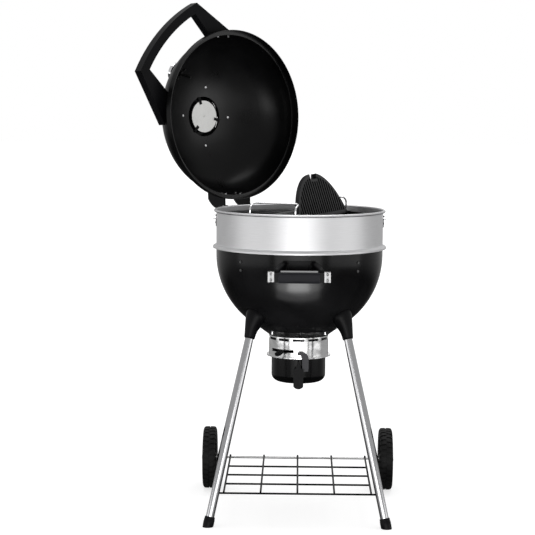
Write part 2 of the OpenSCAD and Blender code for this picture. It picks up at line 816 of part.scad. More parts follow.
module hinge_base() {
    top = lid_z - 4;
    color(plastic) difference() {
        polar(hinge_azimuth) {
            translate([ring_r - 8, -45, rim_height - 76]) cube([16, 90, top - rim_height + 76]);
            translate([ring_r - 8, -(ear_g + ear_thickness), top - 18])
                cube([hinge_reach - ring_r + 16, 2 * (ear_g + ear_thickness), 18]);
            for (side = [-1, 1]) translate([hinge_reach, side * (ear_g + ear_thickness / 2), 0])
                rotate([90, 0, 0]) {
                    translate([0, hinge_pin_z, -ear_thickness / 2])
                        cylinder(r = 8, h = ear_thickness, $fn = 48);
                    translate([-8, top - 18, -ear_thickness / 2])
                        cube([16, hinge_pin_z - top + 18, ear_thickness]);
                }
        }
        cylinder(r = ring_r, h = rim_height + 1, $fn = 180);
        hinge_pin_bore(hinge_pin_r);
        hinge_screw_places() radial_hole(ring_r, 2.5);
    }
}

module hinge_pin_bore(r) {
    polar(hinge_azimuth, hinge_reach, hinge_pin_z) rotate([90, 0, 0])
        translate([0, 0, -100]) cylinder(r = r, h = 200, $fn = 48);
}

module hinge_pin() {
    half = arm_g + arm_thickness + 2;
    color(steel) polar(hinge_azimuth, hinge_reach, hinge_pin_z) rotate([90, 0, 0]) {
        translate([0, 0, -half]) cylinder(r = hinge_pin_r, h = 2 * half, $fn = 48);
        for (side = [-1, 1]) translate([0, 0, side * (half + 1) - 2]) cylinder(r = 6.5, h = 4, $fn = 48);
    }
}

module hinge_base_screws() {
    color(chrome) hinge_screw_places() {
        translate([ring_inner_r - 3 - seat_gap, 0, 0]) rotate([0, 90, 0]) cylinder(r = 5, h = 3, $fn = 32);
        translate([ring_inner_r - 1, 0, 0]) rotate([0, 90, 0]) cylinder(r = 2.5, h = 13, $fn = 24);
    }
}

// ---- lid ----
module arm_screw_places() {
    for (side = [-1, 1]) for (turn = [-5, 5]) on_shoulder(-90 + side * (42 + turn), 15) children();
}

module lid_hinge_screw_places() {
    for (turn = [-6.9, 6.9]) for (rise = [3, 15]) on_shoulder(hinge_azimuth + turn, rise) children();
}

module lid_shell() {
    color(enamel) lid() difference() {
        union() {
            difference() {
                dome_solid();
                dome_solid(sheet);
                translate([0, 0, step_z - 2]) cylinder(r = dome_r - sheet, h = 3, $fn = 180);
            }
            rotate_extrude($fn = 180) union() {
                translate([dome_r - sheet, step_z]) square([skirt_r - dome_r + sheet, sheet]);
                translate([skirt_r - sheet, 0]) square([sheet, step_z + sheet]);
            }
        }
        translate([0, 0, 100]) cylinder(r = vent_hole_radius, h = 200, $fn = 120);
        arm_screw_places() radial_hole(shoulder_radius, 2.5);
        lid_hinge_screw_places() radial_hole(shoulder_radius, 2.5);
        for (az = [45:90:315]) on_crown(az, asin(105.5 / crown_r))
            translate([0, 0, -20]) cylinder(r = 2.5, h = 40, $fn = 24);
        on_crown(-90, gauge_angle) translate([0, 0, -20]) cylinder(r = 4.5, h = 40, $fn = 32);
        for (side = [-1, 1]) on_crown(-90, gauge_angle) translate([0, side * 22.4, -20])
            cylinder(r = 2.5, h = 40, $fn = 24);
    }
}

// Bowed grip and two arms flaring to the dome, drawn in plan with the front at -Y
module lid_handle_plan() {
    outer_end = [175.5, -372.7];
    inner_end = [143, -349];
    outer_bow_r = 577;
    inner_bow_r = 521;
    difference() {
        union() {
            polygon([outer_end, [229, -170], [135, -235], [-135, -235], [-229, -170],
                [-outer_end.x, outer_end.y]]);
            intersection() {
                translate([0, -399.5 + outer_bow_r]) circle(r = outer_bow_r, $fn = 180);
                translate([-outer_end.x, -410]) square([2 * outer_end.x, 60]);
            }
        }
        difference() {
            polygon([inner_end, [140, -230], [-140, -230], [-inner_end.x, inner_end.y],
                [-inner_end.x, -400], [inner_end.x, -400]]);
            difference() {
                translate([-200, -420]) square([400, 80]);
                translate([0, -369 + inner_bow_r]) circle(r = inner_bow_r, $fn = 180);
            }
        }
    }
}

module lid_handle() {
    low = 50;
    color(plastic) lid() difference() {
        translate([0, 0, low]) linear_extrude(34) difference() {
            lid_handle_plan();
            circle(r = 240, $fn = 180);
        }
        dome_solid();
        arm_screw_places() radial_hole(shoulder_radius, 2.5, 12);
    }
}

module lid_handle_screws() {
    color(chrome) lid() arm_screw_places() {
        translate([shoulder_radius - sheet - 3 - seat_gap, 0, 0]) rotate([0, 90, 0])
            cylinder(r = 5, h = 3, $fn = 32);
        translate([shoulder_radius - sheet - 1, 0, 0]) rotate([0, 90, 0]) cylinder(r = 2.5, h = 14, $fn = 24);
    }
}

// Two plates joining the dome to the hinge pin, with a pad between them against the dome
module lid_hinge_arms() {
    pin_z = hinge_pin_z - lid_z;
    color(plastic) difference() {
        lid() difference() {
            polar(hinge_azimuth) {
                for (side = [-1, 1]) translate([0, side * (arm_g + arm_thickness / 2) + arm_thickness / 2, 0])
                    rotate([90, 0, 0]) linear_extrude(arm_thickness) union() {
                        translate([hinge_reach, pin_z]) circle(r = 9, $fn = 48);
                        intersection() {
                            translate([hinge_reach - 78, pin_z + 16]) circle(r = 87, $fn = 96);
                            translate([210, pin_z - 2]) square([200, 90]);
                        }
                    }
                translate([dome_r - 20, -(arm_g + 2), step_z + 4]) cube([25, 2 * arm_g + 4, 42]);
            }
            dome_solid();
            translate([0, 0, -1]) cylinder(r = skirt_r, h = step_z + sheet + 1, $fn = 180);
            lid_hinge_screw_places() radial_hole(shoulder_radius, 2.5);
        }
        hinge_pin_bore(hinge_pin_r + running_gap);
    }
}

module lid_hinge_screws() {
    color(chrome) lid() lid_hinge_screw_places() {
        translate([shoulder_radius - sheet - 3 - seat_gap, 0, 0]) rotate([0, 90, 0])
            cylinder(r = 4.5, h = 3, $fn = 32);
        translate([shoulder_radius - sheet - 1, 0, 0]) rotate([0, 90, 0]) cylinder(r = 2.5, h = 8, $fn = 24);
    }
}

// ---- top vent ----
vent_wall_r = vent_hole_radius + 2.5;
vent_window_z = apex_z + 3;

module vent_windows(inner, outer) {
    for (i = [0:5]) rotate([0, 0, 60 * i]) translate([0, 0, vent_window_z])
        linear_extrude(9) vent_sector(inner, outer, 32);
}

module top_vent_base() {
    color(enamel) lid() difference() {
        rotate_extrude($fn = 144) {
            intersection() {
                translate([0, crown_z]) difference() {
                    circle(r = crown_r + 2, $fn = 180);
                    circle(r = crown_r, $fn = 180);
                }
                translate([vent_hole_radius, 0]) square([118 - vent_hole_radius, far]);
            }
            translate([vent_hole_radius, apex_z - 5]) square([2.5, 21]);
        }
        vent_windows(60, 76);
        for (az = [45:90:315]) on_crown(az, asin(105.5 / crown_r))
            translate([0, 0, -20]) cylinder(r = 2.5, h = 40, $fn = 24);
        dome_solid();
    }
}

module top_vent_screws() {
    color(chrome) lid() for (az = [45:90:315]) on_crown(az, asin(105.5 / crown_r)) {
        translate([0, 0, -sheet - 3 - seat_gap]) cylinder(r = 4, h = 3, $fn = 32);
        translate([0, 0, -sheet - 1]) cylinder(r = 2.5, h = sheet + 6, $fn = 24);
    }
}

vent_disc_z = apex_z - 9;

module top_vent_disc() {
    color(chrome) lid() {
        translate([0, 0, vent_disc_z]) cylinder(r = 57, h = 1.6, $fn = 120);
        translate([0, 0, vent_disc_z - 2]) cylinder(r = 3.2, h = 3, $fn = 32);
    }
}

module top_vent_clips() {
    color(plastic) lid() intersection() {
        for (az = [-66, 54, 174]) polar(az) {
            translate([46, -5, vent_disc_z - 2.5]) cube([28, 10, 2.5]);
            translate([62, -5, vent_disc_z - 2.5]) cube([12, 10, 12]);
        }
        cylinder(r = vent_hole_radius, h = far, $fn = 120);
    }
}

module top_vent_cap() {
    skirt_in = vent_wall_r + 0.6;
    color(enamel) lid() difference() {
        union() {
            rotate_extrude($fn = 144) polygon([
                [skirt_in, apex_z + 1], [skirt_in + 2.5, apex_z + 1], [skirt_in + 2.5, apex_z + 17],
                [skirt_in - 8, apex_z + 24], [0, apex_z + 26], [0, apex_z + 24],
                [skirt_in - 8.6, apex_z + 22], [skirt_in, apex_z + 16.4]
            ]);
            translate([-26, -4, apex_z + 24]) cube([52, 8, 16]);
        }
        vent_windows(72, 84);
    }
}

// ---- thermometer ----
module thermometer_case() {
    color(plastic) gauge() difference() {
        union() {
            translate([0, 0, -2]) cylinder(r = 12, h = 10, $fn = 64);
            translate([0, 0, 7]) cylinder(r = gauge_r, h = 19, $fn = 96);
            translate([-32, -6, -2]) cube([64, 12, 10]);
        }
        translate([0, 0, 9]) cylinder(r = gauge_r - 1.5, h = 30, $fn = 96);
        translate([0, 0, -20]) cylinder(r = 4.5, h = 40, $fn = 32);
        for (side = [-1, 1]) translate([side * 22.4, 0, -20]) cylinder(r = 2.5, h = 26, $fn = 24);
        translate([0, 0, -crown_r]) sphere(r = crown_r, $fn = 180);
    }
}

module thermometer_bezel() {
    color(chrome) gauge() rotate_extrude($fn = 96) polygon([
        [gauge_r, 18], [gauge_r + 3, 18], [gauge_r + 3, 27], [gauge_r + 1, 29], [gauge_r - 3, 29],
        [gauge_r - 3, 26], [gauge_r, 26]
    ]);
}

module thermometer_dial() {
    color("#efefec") gauge() translate([0, 0, 17]) difference() {
        cylinder(r = gauge_r - 1.5, h = 1, $fn = 96);
        translate([0, 0, -1]) cylinder(r = 4.5, h = 3, $fn = 32);
    }
}

module thermometer_lens() {
    color("#dfe6ea80") gauge() translate([0, 0, 24.2]) cylinder(r = gauge_r - 1.5, h = 1.8, $fn = 96);
}

module thermometer_stem() {
    color(steel) gauge() {
        translate([0, 0, -48]) cylinder(r = 4.5, h = 65.5, $fn = 32);
        translate([0, 0, 17]) cylinder(r = 1.5, h = 5, $fn = 24);
    }
}

module thermometer_nuts() {
    color(chrome) gauge() {
        translate([0, 0, -10]) difference() {
            cylinder(r = 9, h = 6, $fn = 6);
            translate([0, 0, -1]) cylinder(r = 4.5, h = 8, $fn = 32);
        }
        for (side = [-1, 1]) translate([side * 22.4, 0, 0]) {
            translate([0, 0, -9]) cylinder(r = 2.5, h = 15, $fn = 24);
            translate([0, 0, -9.5]) cylinder(r = 4.5, h = 4.4, $fn = 6);
        }
    }
}

module thermometer_needle() {
    color("#b3261e") gauge() translate([0, 0, 19.5]) difference() {
        union() {
            cylinder(r = 3.5, h = 1, $fn = 32);
            rotate([0, 0, 225]) translate([0, -0.8, 0]) cube([24, 1.6, 1]);
        }
        translate([0, 0, -1]) cylinder(r = 1.5 + running_gap, h = 3, $fn = 24);
    }
}

bowl();
cooking_ring();
ring_clips();
ring_clip_screws();
grate_brackets();
grate_bracket_plates();
grate_bracket_bolts();
leg_front_left();
leg_front_right();
leg_back_left();
leg_back_right();
leg_socket_front_left();
leg_socket_front_right();
leg_socket_back_left();
leg_socket_back_right();
foot_cap_left();
foot_cap_right();
axle();
shelf_rack();
charcoal_grate_supports();
charcoal_grate();
front_handle_shield();
front_handle_arms();
front_handle_grip();
front_handle_caps();
vent_collar();
vent_collar_rivets();
hinge_base();
hinge_pin();
hinge_base_screws();
lid_shell();
lid_handle();
lid_handle_screws();
lid_hinge_arms();
lid_hinge_screws();
top_vent_base();
top_vent_screws();
top_vent_disc();
top_vent_clips();
top_vent_cap();
thermometer_case();
thermometer_bezel();
thermometer_dial();
thermometer_lens();
thermometer_stem();
thermometer_nuts();
thermometer_needle();
grate_frame();
grate_lift_handles();
grate_flap_right();
grate_flap_left();
sweeper_blades();
sweeper_shaft();
sweeper_lever();
ash_pan();
ash_pan_handle();
wheel_left();
wheel_right();
tyre_left();
tyre_right();
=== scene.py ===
import json
import math

import bmesh
import bpy
from mathutils import Matrix, Vector


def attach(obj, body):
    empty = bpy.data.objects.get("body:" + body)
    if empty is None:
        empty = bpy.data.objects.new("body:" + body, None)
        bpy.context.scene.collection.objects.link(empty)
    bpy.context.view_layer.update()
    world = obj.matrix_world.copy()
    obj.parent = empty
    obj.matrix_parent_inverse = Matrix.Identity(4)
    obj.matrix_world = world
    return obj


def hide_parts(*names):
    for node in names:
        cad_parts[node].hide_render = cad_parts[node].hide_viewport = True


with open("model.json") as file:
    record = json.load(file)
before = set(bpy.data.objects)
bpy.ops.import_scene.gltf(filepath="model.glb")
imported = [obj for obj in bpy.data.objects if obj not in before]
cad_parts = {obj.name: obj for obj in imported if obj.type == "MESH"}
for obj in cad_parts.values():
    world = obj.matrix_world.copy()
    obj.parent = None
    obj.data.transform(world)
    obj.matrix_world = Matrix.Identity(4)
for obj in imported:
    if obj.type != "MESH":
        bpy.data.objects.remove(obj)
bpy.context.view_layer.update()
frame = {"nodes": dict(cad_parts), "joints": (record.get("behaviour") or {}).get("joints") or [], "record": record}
nodes = frame["nodes"]
record = frame["record"]
joints = {j["name"]: j for j in frame["joints"]}
mm = 0.001
smooth_angle = 38


# ---------------------------------------------------------------- materials
def node_tree(name):
    m = bpy.data.materials.new(name)
    m.use_nodes = True
    tree = m.node_tree
    shader = tree.nodes["Principled BSDF"]
    return m, tree, shader


def link(tree, a, b):
    tree.links.new(a, b)


def add(tree, kind, **values):
    n = tree.nodes.new(kind)
    for k, v in values.items():
        if hasattr(n, k):
            setattr(n, k, v)
        else:
            n.inputs[k].default_value = v
    return n


def noise(tree, vector, scale, detail=3.0, rough=0.5):
    n = add(tree, "ShaderNodeTexNoise")
    n.inputs["Scale"].default_value = scale
    n.inputs["Detail"].default_value = detail
    n.inputs["Roughness"].default_value = rough
    link(tree, vector, n.inputs["Vector"])
    return n.outputs["Fac"]


def remap(tree, value, low, high, from_low=0.0, from_high=1.0):
    n = add(tree, "ShaderNodeMapRange")
    n.inputs["From Min"].default_value = from_low
    n.inputs["From Max"].default_value = from_high
    n.inputs["To Min"].default_value = low
    n.inputs["To Max"].default_value = high
    link(tree, value, n.inputs["Value"])
    return n.outputs["Result"]


def mix_color(tree, factor, a, b):
    n = add(tree, "ShaderNodeMix", data_type="RGBA")
    link(tree, factor, n.inputs[0])
    n.inputs[6].default_value = (*a, 1)
    n.inputs[7].default_value = (*b, 1)
    return n.outputs[2]


def bump(tree, height, strength, distance, normal=None):
    n = add(tree, "ShaderNodeBump")
    n.inputs["Strength"].default_value = strength
    n.inputs["Distance"].default_value = distance
    link(tree, height, n.inputs["Height"])
    if normal is not None:
        link(tree, normal, n.inputs["Normal"])
    return n.outputs["Normal"]


def object_coords(tree):
    return add(tree, "ShaderNodeTexCoord").outputs["Object"]


def stretched(tree, vector, scale):
    n = add(tree, "ShaderNodeMapping")
    n.inputs["Scale"].default_value = scale
    link(tree, vector, n.inputs["Vector"])
    return n.outputs["Vector"]


def painted(name, dark, light, rough, coat=0.0, grain=400.0, grain_depth=0.0002, blotch=9.0,
            grain_strength=0.3, specular=0.25):
    """Paint, enamel or plastic: slow colour and gloss variation, and a fine grain in the surface."""
    m, tree, shader = node_tree(name)
    p = object_coords(tree)
    slow = noise(tree, p, blotch, 4.0)
    fine = noise(tree, p, grain, 2.0)
    shade = mix_color(tree, remap(tree, slow, 0, 1, 0.3, 0.7), dark, light)
    link(tree, shade, shader.inputs["Base Color"])
    link(tree, remap(tree, slow, rough[0], rough[1], 0.3, 0.7), shader.inputs["Roughness"])
    link(tree, bump(tree, fine, grain_strength, grain_depth), shader.inputs["Normal"])
    shader.inputs["Coat Weight"].default_value = coat
    shader.inputs["Coat Roughness"].default_value = 0.05
    shader.inputs["Specular IOR Level"].default_value = specular
    return m


def round_streaks(tree, p, around, along):
    """Coordinates that run round the Z axis slowly and up it fast, for sheet brushed round a ring."""
    split = add(tree, "ShaderNodeSeparateXYZ")
    link(tree, p, split.inputs[0])
    angle = add(tree, "ShaderNodeMath", operation="ARCTAN2")
    link(tree, split.outputs["Y"], angle.inputs[0])
    link(tree, split.outputs["X"], angle.inputs[1])
    u = add(tree, "ShaderNodeMath", operation="MULTIPLY")
    link(tree, angle.outputs[0], u.inputs[0])
    u.inputs[1].default_value = around
    v = add(tree, "ShaderNodeMath", operation="MULTIPLY")
    link(tree, split.outputs["Z"], v.inputs[0])
    v.inputs[1].default_value = along
    join = add(tree, "ShaderNodeCombineXYZ")
    link(tree, u.outputs[0], join.inputs["X"])
    link(tree, v.outputs[0], join.inputs["Y"])
    return join.outputs[0]


def metal(name, color, rough, streak=None, streak_depth=0.00003, blotch=14.0, grain=900.0, tint=0.06,
          strength=0.25, metallic=1.0, wave=0.0):
    """Bare or plated metal, with gloss that varies slowly.

    streak is None for an even grain, ("ring", around, along) for brushing round a ring, or ("line", x, y, z)
    for marks drawn out by those scales.
    """
    m, tree, shader = node_tree(name)
    shader.inputs["Metallic"].default_value = metallic
    p = object_coords(tree)
    slow = noise(tree, p, blotch, 3.0)
    if streak is None:
        fine = noise(tree, p, grain, 2.0)
    elif streak[0] == "ring":
        fine = noise(tree, round_streaks(tree, p, streak[1], streak[2]), 1.0, 5.0, 0.65)
    else:
        fine = noise(tree, stretched(tree, p, streak[1:]), 1.0, 4.0, 0.6)
    both = add(tree, "ShaderNodeMath", operation="MULTIPLY_ADD")
    link(tree, fine, both.inputs[0])
    both.inputs[1].default_value = 0.7
    half = remap(tree, slow, 0, 0.3)
    link(tree, half, both.inputs[2])
    dark = tuple(c * (1 - tint) for c in color)
    shade = mix_color(tree, remap(tree, both.outputs[0], 0, 1, 0.25, 0.75), dark, color)
    link(tree, shade, shader.inputs["Base Color"])
    link(tree, remap(tree, both.outputs[0], rough[0], rough[1], 0.25, 0.75), shader.inputs["Roughness"])
    normal = bump(tree, fine, strength, streak_depth)
    if wave:
        normal = bump(tree, noise(tree, p, 28.0, 1.0), 0.35, wave, normal)
    link(tree, normal, shader.inputs["Normal"])
    return m


enamel = painted("porcelain_enamel", (0.0012, 0.0012, 0.0013), (0.0028, 0.0028, 0.003), (0.17, 0.25),
                 grain=55.0, grain_depth=0.0004, grain_strength=0.06, specular=0.16)
lid_enamel = painted("lid_enamel", (0.0012, 0.0012, 0.0013), (0.0028, 0.0028, 0.003), (0.26, 0.36),
                     grain=60.0, grain_depth=0.0004, grain_strength=0.06, specular=0.15)
plastic = painted("moulded_nylon", (0.0015, 0.0015, 0.0018), (0.0032, 0.0032, 0.0038), (0.30, 0.42),
                  grain=1300.0, grain_depth=0.00006, specular=0.11)
grip_plastic = painted("grip_nylon", (0.010, 0.010, 0.012), (0.017, 0.017, 0.020), (0.30, 0.42),
                       grain=1500.0, grain_depth=0.00006, specular=0.07)
wheel_plastic = painted("wheel_plastic", (0.003, 0.003, 0.003), (0.006, 0.006, 0.006), (0.42, 0.55),
                        grain=900.0, specular=0.2)
rubber = painted("tyre_rubber", (0.003, 0.003, 0.003), (0.006, 0.006, 0.006), (0.5, 0.65),
                 grain=700.0, grain_depth=0.0001, specular=0.2)
iron = painted("enamelled_cast_iron", (0.002, 0.002, 0.0024), (0.005, 0.005, 0.0056), (0.36, 0.5),
               grain=500.0, grain_depth=0.00025, grain_strength=0.5, specular=0.2)
black_wire = painted("coated_wire", (0.0012, 0.0012, 0.0014), (0.003, 0.003, 0.0034), (0.34, 0.46),
                     specular=0.08)
# The hook's plastic is the grip's black made lighter grey: painted sheen for the light on the strap
sheen_painted_strap_plastic = painted("strap_nylon_painted_sheen", (0.018, 0.018, 0.021), (0.030, 0.030, 0.034), (0.30, 0.42),
                        grain=900.0, grain_depth=0.00006, specular=0.3)
ring_steel = metal("brushed_ring_steel", (0.88, 0.88, 0.89), (0.40, 0.54), ("ring", 5.0, 900.0), tint=0.2)
collar_steel = metal("collar_steel", (0.78, 0.78, 0.78), (0.12, 0.26), ("ring", 4.0, 500.0), tint=0.2,
                     wave=0.0030)
bright_steel = metal("plated_steel", (0.62, 0.62, 0.62), (0.22, 0.36), tint=0.2)
cap_steel = metal("cast_cap_metal", (0.42, 0.42, 0.42), (0.32, 0.46), tint=0.25)
gloss_plastic = painted("polished_grip_top", (0.004, 0.004, 0.005), (0.008, 0.008, 0.009), (0.16, 0.24),
                        grain=400.0, grain_depth=0.00005, specular=0.9)
# Steel darkened to a base of 0.1, so that these small steel parts look dark
darkened_steel = metal("darkened_screw_steel", (0.10, 0.10, 0.10), (0.35, 0.5), tint=0.3)
chrome = metal("polished_chrome", (0.86, 0.86, 0.87), (0.05, 0.10), tint=0.05, strength=0.05)
leg_chrome = metal("leg_chrome", (0.52, 0.52, 0.53), (0.10, 0.16), ("line", 300.0, 300.0, 6.0),
                   tint=0.08, strength=0.05)
vent_metal = metal("vent_disc_metal", (0.95, 0.95, 0.93), (0.35, 0.5), tint=0.3, grain=600.0,
                   strength=0.6, metallic=0.45)
dial_white = painted("dial_enamel", (0.72, 0.72, 0.70), (0.80, 0.80, 0.78), (0.3, 0.4), coat=0.4)
dial_ink = painted("dial_ink", (0.012, 0.012, 0.012), (0.02, 0.02, 0.02), (0.4, 0.5))
needle_red = painted("needle_red", (0.42, 0.015, 0.01), (0.5, 0.02, 0.015), (0.3, 0.4), coat=0.3)


def clear_glass():
    m, tree, shader = node_tree("gauge_glass")
    p = object_coords(tree)
    shader.inputs["Transmission Weight"].default_value = 1.0
    shader.inputs["IOR"].default_value = 1.46
    shader.inputs["Base Color"].default_value = (0.96, 0.98, 0.98, 1)
    link(tree, remap(tree, noise(tree, p, 60.0), 0.01, 0.04), shader.inputs["Roughness"])
    return m


glass = clear_glass()

by_slot = {
    "black_enamel": enamel,
    "ring_steel": ring_steel,
    "collar_steel": collar_steel,
    "bright_steel": bright_steel,
    "leg_chrome": leg_chrome,
    "hardware_chrome": chrome,
    "lift_wire_chrome": chrome,
    "vent_disc_metal": vent_metal,
    "black_plastic": plastic,
    "grip_plastic": grip_plastic,
    "wheel_plastic": wheel_plastic,
    "black_wire": black_wire,
    "cast_iron": iron,
    "tyre_rubber": rubber,
    "dial_enamel": dial_white,
    "clear_glass": glass,
    "needle_red": needle_red,
}
slot_of = {s["node"]: s["material_slot"] for s in record["subparts"]}
for name, obj in nodes.items():
    obj.data.materials.clear()
    obj.data.materials.append(by_slot[slot_of[name]])
nodes["lid_shell"].data.materials[0] = lid_enamel
# The ring's clip screws and the thermometer's stem and nuts take the darkened steel
for name in ("ring_clip_screws", "thermometer_stem", "thermometer_nuts"):
    nodes[name].data.materials[0] = darkened_steel


# ---------------------------------------------------------------- shapes, drawn in millimetres
scene = bpy.context.scene


def finish_mesh(bm, name, material, smooth=smooth_angle, turn=None):
    """Close a drawing: place it, scale it to metres, and shade it smooth between its sharp edges."""
    if turn is not None:
        bm.transform(turn)
    bm.transform(Matrix.Scale(mm, 4))
    bmesh.ops.remove_doubles(bm, verts=bm.verts, dist=1e-7)
    bmesh.ops.recalc_face_normals(bm, faces=bm.faces)
    mesh = bpy.data.meshes.new(name)
    bm.to_mesh(mesh)
    bm.free()
    mesh.polygons.foreach_set("use_smooth", [True] * len(mesh.polygons))
    mesh.set_sharp_from_angle(angle=math.radians(smooth))
    mesh.materials.append(material)
    obj = bpy.data.objects.new(name, mesh)
    scene.collection.objects.link(obj)
    return obj


def soften(bm, width, segments=3, angle=30):
    """Round every edge sharper than angle."""
    edges = [e for e in bm.edges if len(e.link_faces) == 2 and e.calc_face_angle(0) > math.radians(angle)]
    bmesh.ops.bevel(bm, geom=edges, offset=width, segments=segments, profile=0.5, affect="EDGES",
                    clamp_overlap=True)


def lathe(bm, profile, segments=96, closed=True):
    """Turn a profile of (radius, height) round Z."""
    rings = []
    for r, z in profile:
        count = 1 if r < 1e-6 else segments
        angles = [2 * math.pi * i / segments for i in range(count)]
        rings.append([bm.verts.new((r * math.cos(a), r * math.sin(a), z)) for a in angles])
    follow = rings[1:] + rings[:1] if closed else rings[1:]
    for a, b in zip(rings, follow):
        for i in range(segments):
            j = (i + 1) % segments
            corners = ([a[0]] if len(a) == 1 else [a[i], a[j]]) + ([b[0]] if len(b) == 1 else [b[j], b[i]])
            if len(corners) > 2:
                bm.faces.new(corners)
    return bm


def prism(bm, outline, low, high):
    """A plate with this outline between two heights."""
    bottom = [bm.verts.new((x, y, low)) for x, y in outline]
    top = [bm.verts.new((x, y, high)) for x, y in outline]
    bm.faces.new(list(reversed(bottom)))
    bm.faces.new(top)
    for i in range(len(outline)):
        j = (i + 1) % len(outline)
        bm.faces.new((bottom[i], bottom[j], top[j], top[i]))
    return bm


def block(bm, centre, size):
    """Add a box of this size, about its centre."""
    x, y, z = (c / 2 for c in size)
    part = bmesh.new()
    prism(part, [(-x, -y), (x, -y), (x, y), (-x, y)], -z, z)
    part.transform(Matrix.Translation(centre))
    join_into(bm, part)


def join_into(bm, part):
    """Copy one drawing's faces into another and drop the first."""
    made = {v: bm.verts.new(v.co) for v in part.verts}
    for f in part.faces:
        bm.faces.new([made[v] for v in f.verts])
    part.free()


def cut_away(obj, cutter):
    """Take the cutter's shape out of a piece, and drop the cutter."""
    tool = obj.modifiers.new("cut", "BOOLEAN")
    tool.operation = "DIFFERENCE"
    tool.solver = "EXACT"
    tool.object = cutter
    bpy.context.view_layer.update()
    cut = bpy.data.meshes.new_from_object(obj.evaluated_get(bpy.context.evaluated_depsgraph_get()))
    obj.modifiers.clear()
    obj.data = cut
    bpy.data.objects.remove(cutter)
    cut.polygons.foreach_set("use_smooth", [True] * len(cut.polygons))
    cut.set_sharp_from_angle(angle=math.radians(smooth_angle))


body_of = {n: body for body, members in record["behaviour"]["bodies"].items() for n in members}


def stands_for(obj, node):
    """The piece moves with the CAD node's body and is shown in its place."""
    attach(obj, body_of[node])
    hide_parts(node)


def turned(axis, degrees):
    return Matrix.Rotation(math.radians(degrees), 4, axis)


def arc(cx, cy, r, start, stop, steps):
    angles = [math.radians(start + (stop - start) * i / steps) for i in range(steps + 1)]
    return [(cx + r * math.cos(a), cy + r * math.sin(a)) for a in angles]


# The lid's frame, in millimetres: its origin is on the bowl's axis, in the bottom plane of the closed lid's
# skirt, and it is swung open about the hinge pin
lid_z = 1012
lid_open = 92.8
pin = Vector(joints["lid_hinge"]["pos_m"]) / mm
lid_swing = Matrix.Rotation(math.radians(lid_open), 4, Vector(joints["lid_hinge"]["axis"]))
lid_turn = (Matrix.Translation(pin) @ lid_swing @ Matrix.Translation(-pin)
            @ Matrix.Translation((0, 0, lid_z)))

# The bowl and the dome share one outside radius; the dome is a shoulder arc that runs into a wide crown arc
bowl_r = 283.5
bowl_z = 878.0
shoulder_x, shoulder_z, shoulder_r, shoulder_sweep = 168.5, 28, 115, 60.73
crown_z, crown_r, crown_sweep = -272.64, 459.64, 29.27
step_z, apex_z = 15, 187


def dome_profile(grow):
    """The outside of the dome, grown by grow, out from the axis at the skirt's step, and up to its top."""
    steps = 24
    rise = math.radians(shoulder_sweep)
    wide, high = shoulder_r + grow, crown_r + grow
    angles = [rise * i / steps for i in range(steps + 1)]
    shoulder = [(shoulder_x + wide * math.cos(a), shoulder_z + wide * math.sin(a)) for a in angles]
    angles = [math.radians(crown_sweep * (steps - i) / steps) for i in range(1, steps)]
    crown = [(high * math.sin(a), crown_z + high * math.cos(a)) for a in angles]
    return [(0, step_z), (bowl_r + grow, step_z)] + shoulder + crown + [(0, apex_z + grow)]


def circle_y(x, r, middle):
    """The near side, at x, of a circle about (0, middle)."""
    return middle - math.sqrt(r * r - x * x)


# ---------------------------------------------------------------- lid handle
def lid_handle():
    """The bow across the front of the lid: a softened plate whose two ends are cut back to the dome."""
    steps = 28
    outer_half, outer_r, outer_middle = 175.5, 577, 177.5
    inner_half, inner_r, inner_middle = 143, 521, 152
    end_x, end_y, foot_x, foot_y = 229, -170, 140, -232
    low, high = 50, 84
    outer_x = [outer_half - 2 * outer_half * i / steps for i in range(steps + 1)]
    inner_x = [-inner_half + 2 * inner_half * i / steps for i in range(steps + 1)]
    outer = [(x, circle_y(x, outer_r, outer_middle)) for x in outer_x]
    inner = [(x, circle_y(x, inner_r, inner_middle)) for x in inner_x]
    outline = ([(end_x, end_y)] + outer + [(-end_x, end_y), (-foot_x, foot_y)]
               + inner + [(foot_x, foot_y)])
    bm = prism(bmesh.new(), outline, low, high)
    soften(bm, 9, 4, 25)
    obj = finish_mesh(bm, "lid_handle_bow", plastic)
    dome = finish_mesh(lathe(bmesh.new(), dome_profile(0.05), 144, closed=False), "dome_cutter", plastic)
    cut_away(obj, dome)
    turn = Matrix.Scale(mm, 4) @ lid_turn @ Matrix.Scale(1 / mm, 4)
    obj.data.transform(turn)
    obj.data.update()
    stands_for(obj, "lid_handle")


lid_handle()


# ---------------------------------------------------------------- leg sockets and feet
socket_z = 609
socket_reach = 232.6
front_reach = 416.5
axle_y = 276.5
wheel_r = 111
tube_bore_r = 14.1
front_lean = math.atan((front_reach - socket_reach) / socket_z)
back_pass = axle_y * math.sqrt(2)
back_lean = math.atan((back_pass - socket_reach) / (socket_z - wheel_r))
back_reach = back_pass + wheel_r * math.tan(back_lean)


